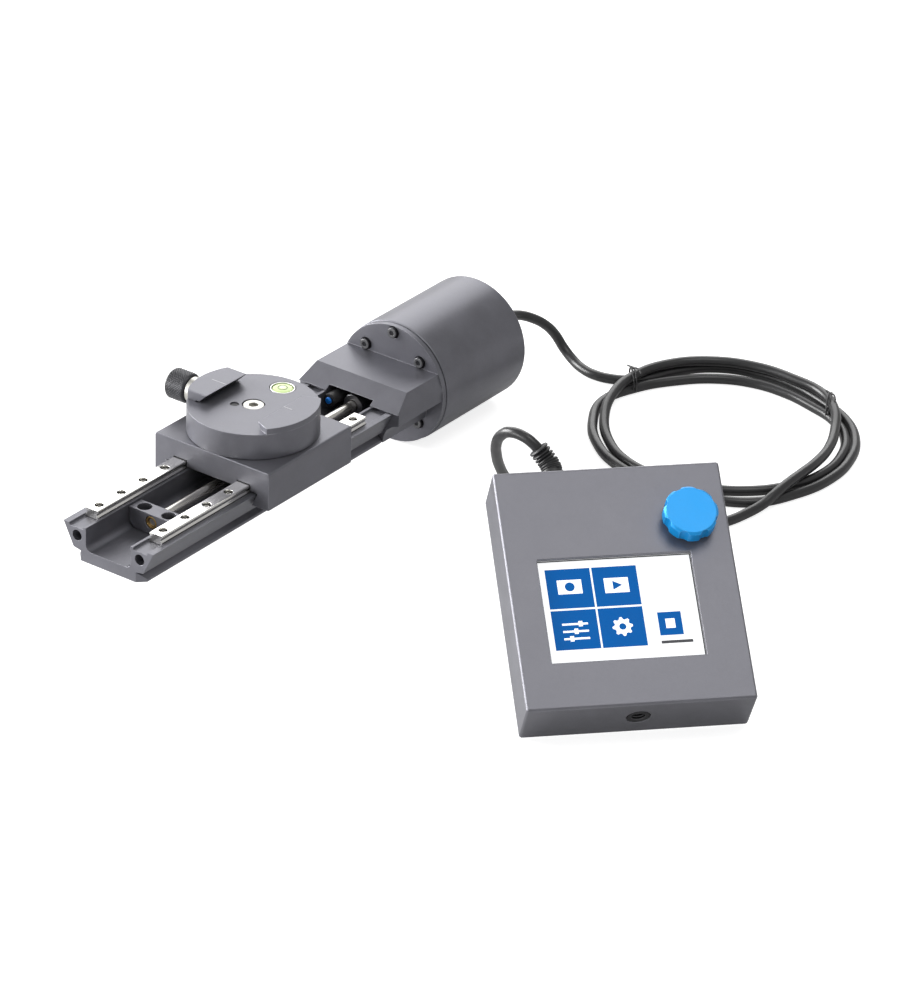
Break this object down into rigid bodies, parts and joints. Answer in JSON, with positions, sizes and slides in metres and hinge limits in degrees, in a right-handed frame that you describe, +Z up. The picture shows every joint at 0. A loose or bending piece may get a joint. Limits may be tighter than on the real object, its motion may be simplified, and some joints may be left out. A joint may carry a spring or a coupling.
{
  "type": "motorised camera slider",
  "caption": "Short motor-driven camera slider: dovetail rail, carriage with quick-release clamp, round motor, and a touchscreen controller on a coiled cable.",
  "frame": {"origin": "underside of the dovetail foot, on the slider's centre plane, below the first guide-rail screw", "axes": "+X along the rail towards the motor, +Y to the left seen from the free end, +Z up"},
  "size_m": [0.3848, 0.327, 0.0892],
  "materials": {
    "anodised": "satin blue-grey anodised, fine bead-blasted grain",
    "guide_steel": "ground and polished",
    "bright_steel": "turned, bright",
    "black_steel": "black oxide",
    "black_plastic": "moulded, matt",
    "bronze": "machined",
    "coupling_alloy": "turned",
    "level_liquid": "clear vial with yellow-green liquid",
    "blue_anodised": "bright blue anodised",
    "blue_buffer": "smooth",
    "screen": "flat display, lit",
    "circuit_green": "lacquered laminate",
    "cable_rubber": "smooth, slightly glossy"
  },
  "bodies": {
    "base": {"base_rail": "anodised", "bearing_screw_left": "black_steel", "bearing_screw_right": "black_steel", "bracket_screw_left": "black_steel", "bracket_screw_right": "black_steel", "cable_gland": "cable_rubber", "cable_plug": "cable_rubber", "cable_socket": "bright_steel", "circuit_board": "circuit_green", "controller_back": "anodised", "controller_case": "anodised", "cord_coil": "cable_rubber", "cord_controller_end": "cable_rubber", "cord_motor_end": "cable_rubber", "display_panel": "screen", "encoder": "black_plastic", "end_stop": "black_plastic", "end_stop_buffer": "blue_buffer", "end_stop_mount": "anodised", "front_bearing_block": "anodised", "front_bushing": "bronze", "guide_rail_left": "guide_steel", "guide_rail_right": "guide_steel", "leg_hinge_left": "anodised", "leg_hinge_right": "anodised", "leg_pin": "bright_steel", "motor": "black_steel", "motor_bracket": "anodised", "motor_screw_lower_left": "black_steel", "motor_screw_lower_right": "black_steel", "motor_screw_upper_left": "black_steel", "motor_screw_upper_right": "black_steel", "motor_shell": "anodised", "rear_cover": "anodised", "shell_screw": "black_steel", "strain_relief": "cable_rubber", "tripod_insert": "bright_steel"},
    "lead_screw": {"lead_screw": "bright_steel", "shaft_coupling": "coupling_alloy", "motor_shaft": "bright_steel"},
    "carriage": {"carriage": "anodised", "runner_block_front_left": "guide_steel", "runner_block_front_right": "guide_steel", "runner_block_rear_left": "guide_steel", "runner_block_rear_right": "guide_steel", "lead_nut": "bronze", "clamp_base": "anodised", "centre_screw": "bright_steel", "level_cup": "bright_steel", "level_vial": "level_liquid", "set_screw": "black_steel"},
    "moving_jaw": {"moving_jaw": "anodised"},
    "clamp_knob": {"clamp_knob": "anodised", "knob_ring": "bright_steel", "clamp_screw": "bright_steel"},
    "control_knob": {"control_knob": "blue_anodised", "encoder_shaft": "bright_steel"},
    "support_leg": {"support_leg": "anodised"}
  },
  "joints": [
    {"name": "lead_screw_spin", "type": "hinge", "parent": "base", "child": "lead_screw", "pos_m": [0, 0, 0.01172], "axis": [1, 0, 0], "range_deg": [-6301, 9901]},
    {"name": "carriage_slide", "type": "slide", "parent": "base", "child": "carriage", "axis": [1, 0, 0], "range_m": [-0.055, 0.035]},
    {"name": "clamp_knob_spin", "type": "hinge", "parent": "moving_jaw", "child": "clamp_knob", "pos_m": [0.08514, 0, 0.0377], "axis": [0, 1, 0], "range_deg": [-1, 1351]},
    {"name": "jaw_slide", "type": "slide", "parent": "carriage", "child": "moving_jaw", "axis": [0, 1, 0], "range_m": [0, 0.003]},
    {"name": "control_knob_spin", "type": "hinge", "parent": "base", "child": "control_knob", "pos_m": [0.10424, -0.21954, 0.05147], "axis": [-0.384, -0.3972, 0.8335], "continuous": true},
    {"name": "support_leg_fold", "type": "hinge", "parent": "base", "child": "support_leg", "pos_m": [0.09496, -0.18353, 0.02812], "axis": [0.719, -0.695, 0], "range_deg": [-68, 0]}
  ],
  "couplings": [
    {"joint": "lead_screw_spin", "follows": "carriage_slide", "rad_per_m": -3141.6},
    {"joint": "clamp_knob_spin", "follows": "jaw_slide", "rad_per_m": 7854}
  ]
}
